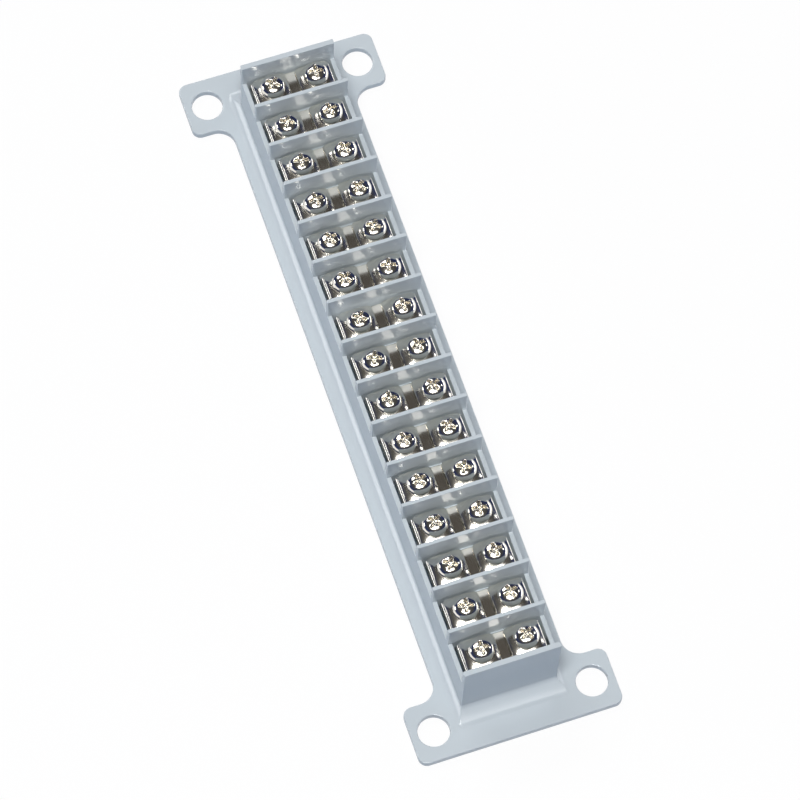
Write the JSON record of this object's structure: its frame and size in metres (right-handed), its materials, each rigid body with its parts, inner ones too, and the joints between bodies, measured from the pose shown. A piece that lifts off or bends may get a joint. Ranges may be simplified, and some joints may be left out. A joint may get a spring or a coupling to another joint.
{
  "type": "terminal block",
  "caption": "Double row barrier terminal block with a thin eared mounting flange, plated bars and clamp screws with captive washers.",
  "frame": {"origin": "middle of the underside of the mounting flange", "axes": "+Z out of the mounting face, +Y along the row of poles, wires enter along X"},
  "size_m": [0.046, 0.17, 0.0219],
  "materials": {
    "housing": "pale blue-grey moulded plastic",
    "bar": "brass, bright nickel plated",
    "screw": "steel, bright nickel plated"
  },
  "bodies": {
    "block": {"housing": "housing", "terminal_bar_01": "bar", "terminal_bar_02": "bar", "terminal_bar_03": "bar", "terminal_bar_04": "bar", "terminal_bar_05": "bar", "terminal_bar_06": "bar", "terminal_bar_07": "bar", "terminal_bar_08": "bar", "terminal_bar_09": "bar", "terminal_bar_10": "bar", "terminal_bar_11": "bar", "terminal_bar_12": "bar", "terminal_bar_13": "bar", "terminal_bar_14": "bar", "terminal_bar_15": "bar"},
    "screw_01_left": {"terminal_screw_01_left": "screw"},
    "screw_01_right": {"terminal_screw_01_right": "screw"},
    "screw_02_left": {"terminal_screw_02_left": "screw"},
    "screw_02_right": {"terminal_screw_02_right": "screw"},
    "screw_03_left": {"terminal_screw_03_left": "screw"},
    "screw_03_right": {"terminal_screw_03_right": "screw"},
    "screw_04_left": {"terminal_screw_04_left": "screw"},
    "screw_04_right": {"terminal_screw_04_right": "screw"},
    "screw_05_left": {"terminal_screw_05_left": "screw"},
    "screw_05_right": {"terminal_screw_05_right": "screw"},
    "screw_06_left": {"terminal_screw_06_left": "screw"},
    "screw_06_right": {"terminal_screw_06_right": "screw"},
    "screw_07_left": {"terminal_screw_07_left": "screw"},
    "screw_07_right": {"terminal_screw_07_right": "screw"},
    "screw_08_left": {"terminal_screw_08_left": "screw"},
    "screw_08_right": {"terminal_screw_08_right": "screw"},
    "screw_09_left": {"terminal_screw_09_left": "screw"},
    "screw_09_right": {"terminal_screw_09_right": "screw"},
    "screw_10_left": {"terminal_screw_10_left": "screw"},
    "screw_10_right": {"terminal_screw_10_right": "screw"},
    "screw_11_left": {"terminal_screw_11_left": "screw"},
    "screw_11_right": {"terminal_screw_11_right": "screw"},
    "screw_12_left": {"terminal_screw_12_left": "screw"},
    "screw_12_right": {"terminal_screw_12_right": "screw"},
    "screw_13_left": {"terminal_screw_13_left": "screw"},
    "screw_13_right": {"terminal_screw_13_right": "screw"},
    "screw_14_left": {"terminal_screw_14_left": "screw"},
    "screw_14_right": {"terminal_screw_14_right": "screw"},
    "screw_15_left": {"terminal_screw_15_left": "screw"},
    "screw_15_right": {"terminal_screw_15_right": "screw"}
  },
  "joints": [
    {"name": "screw_01_left_lift", "type": "slide", "parent": "block", "child": "screw_01_left", "axis": [0, 0, 1], "range_m": [0, 0.0035]},
    {"name": "screw_01_right_lift", "type": "slide", "parent": "block", "child": "screw_01_right", "axis": [0, 0, 1], "range_m": [0, 0.0035]},
    {"name": "screw_02_left_lift", "type": "slide", "parent": "block", "child": "screw_02_left", "axis": [0, 0, 1], "range_m": [0, 0.0035]},
    {"name": "screw_02_right_lift", "type": "slide", "parent": "block", "child": "screw_02_right", "axis": [0, 0, 1], "range_m": [0, 0.0035]},
    {"name": "screw_03_left_lift", "type": "slide", "parent": "block", "child": "screw_03_left", "axis": [0, 0, 1], "range_m": [0, 0.0035]},
    {"name": "screw_03_right_lift", "type": "slide", "parent": "block", "child": "screw_03_right", "axis": [0, 0, 1], "range_m": [0, 0.0035]},
    {"name": "screw_04_left_lift", "type": "slide", "parent": "block", "child": "screw_04_left", "axis": [0, 0, 1], "range_m": [0, 0.0035]},
    {"name": "screw_04_right_lift", "type": "slide", "parent": "block", "child": "screw_04_right", "axis": [0, 0, 1], "range_m": [0, 0.0035]},
    {"name": "screw_05_left_lift", "type": "slide", "parent": "block", "child": "screw_05_left", "axis": [0, 0, 1], "range_m": [0, 0.0035]},
    {"name": "screw_05_right_lift", "type": "slide", "parent": "block", "child": "screw_05_right", "axis": [0, 0, 1], "range_m": [0, 0.0035]},
    {"name": "screw_06_left_lift", "type": "slide", "parent": "block", "child": "screw_06_left", "axis": [0, 0, 1], "range_m": [0, 0.0035]},
    {"name": "screw_06_right_lift", "type": "slide", "parent": "block", "child": "screw_06_right", "axis": [0, 0, 1], "range_m": [0, 0.0035]},
    {"name": "screw_07_left_lift", "type": "slide", "parent": "block", "child": "screw_07_left", "axis": [0, 0, 1], "range_m": [0, 0.0035]},
    {"name": "screw_07_right_lift", "type": "slide", "parent": "block", "child": "screw_07_right", "axis": [0, 0, 1], "range_m": [0, 0.0035]},
    {"name": "screw_08_left_lift", "type": "slide", "parent": "block", "child": "screw_08_left", "axis": [0, 0, 1], "range_m": [0, 0.0035]},
    {"name": "screw_08_right_lift", "type": "slide", "parent": "block", "child": "screw_08_right", "axis": [0, 0, 1], "range_m": [0, 0.0035]},
    {"name": "screw_09_left_lift", "type": "slide", "parent": "block", "child": "screw_09_left", "axis": [0, 0, 1], "range_m": [0, 0.0035]},
    {"name": "screw_09_right_lift", "type": "slide", "parent": "block", "child": "screw_09_right", "axis": [0, 0, 1], "range_m": [0, 0.0035]},
    {"name": "screw_10_left_lift", "type": "slide", "parent": "block", "child": "screw_10_left", "axis": [0, 0, 1], "range_m": [0, 0.0035]},
    {"name": "screw_10_right_lift", "type": "slide", "parent": "block", "child": "screw_10_right", "axis": [0, 0, 1], "range_m": [0, 0.0035]},
    {"name": "screw_11_left_lift", "type": "slide", "parent": "block", "child": "screw_11_left", "axis": [0, 0, 1], "range_m": [0, 0.0035]},
    {"name": "screw_11_right_lift", "type": "slide", "parent": "block", "child": "screw_11_right", "axis": [0, 0, 1], "range_m": [0, 0.0035]},
    {"name": "screw_12_left_lift", "type": "slide", "parent": "block", "child": "screw_12_left", "axis": [0, 0, 1], "range_m": [0, 0.0035]},
    {"name": "screw_12_right_lift", "type": "slide", "parent": "block", "child": "screw_12_right", "axis": [0, 0, 1], "range_m": [0, 0.0035]},
    {"name": "screw_13_left_lift", "type": "slide", "parent": "block", "child": "screw_13_left", "axis": [0, 0, 1], "range_m": [0, 0.0035]},
    {"name": "screw_13_right_lift", "type": "slide", "parent": "block", "child": "screw_13_right", "axis": [0, 0, 1], "range_m": [0, 0.0035]},
    {"name": "screw_14_left_lift", "type": "slide", "parent": "block", "child": "screw_14_left", "axis": [0, 0, 1], "range_m": [0, 0.0035]},
    {"name": "screw_14_right_lift", "type": "slide", "parent": "block", "child": "screw_14_right", "axis": [0, 0, 1], "range_m": [0, 0.0035]},
    {"name": "screw_15_left_lift", "type": "slide", "parent": "block", "child": "screw_15_left", "axis": [0, 0, 1], "range_m": [0, 0.0035]},
    {"name": "screw_15_right_lift", "type": "slide", "parent": "block", "child": "screw_15_right", "axis": [0, 0, 1], "range_m": [0, 0.0035]}
  ]
}
